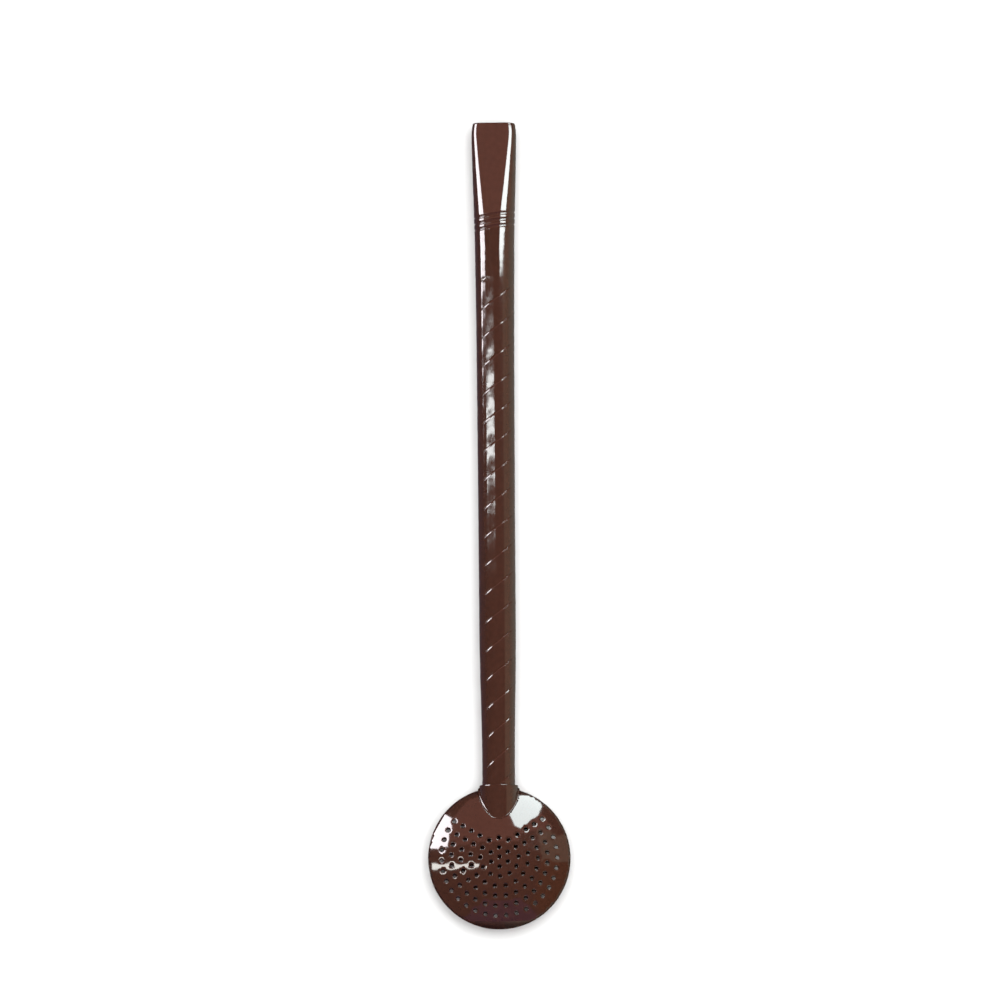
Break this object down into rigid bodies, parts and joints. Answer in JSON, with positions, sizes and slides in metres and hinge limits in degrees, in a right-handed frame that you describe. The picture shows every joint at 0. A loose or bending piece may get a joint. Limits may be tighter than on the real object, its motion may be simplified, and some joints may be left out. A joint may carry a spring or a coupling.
{
  "type": "bombilla",
  "caption": "Coated metal mate straw with a flattened mouthpiece, a tapered round stem and a round, domed, perforated filter.",
  "frame": {"origin": "middle of the overall box, at the surface the straw lies on", "axes": "+Y along the stem towards the mouth, +Z out of the filter's front, +X across the straw"},
  "size_m": [0.0316, 0.18, 0.0118],
  "materials": {
    "coat": "gloss"
  },
  "bodies": {
    "root": {"mouthpiece": "coat", "stem": "coat", "filter_front": "coat", "filter_back": "coat", "rim_solder": "coat"}
  },
  "joints": []
}
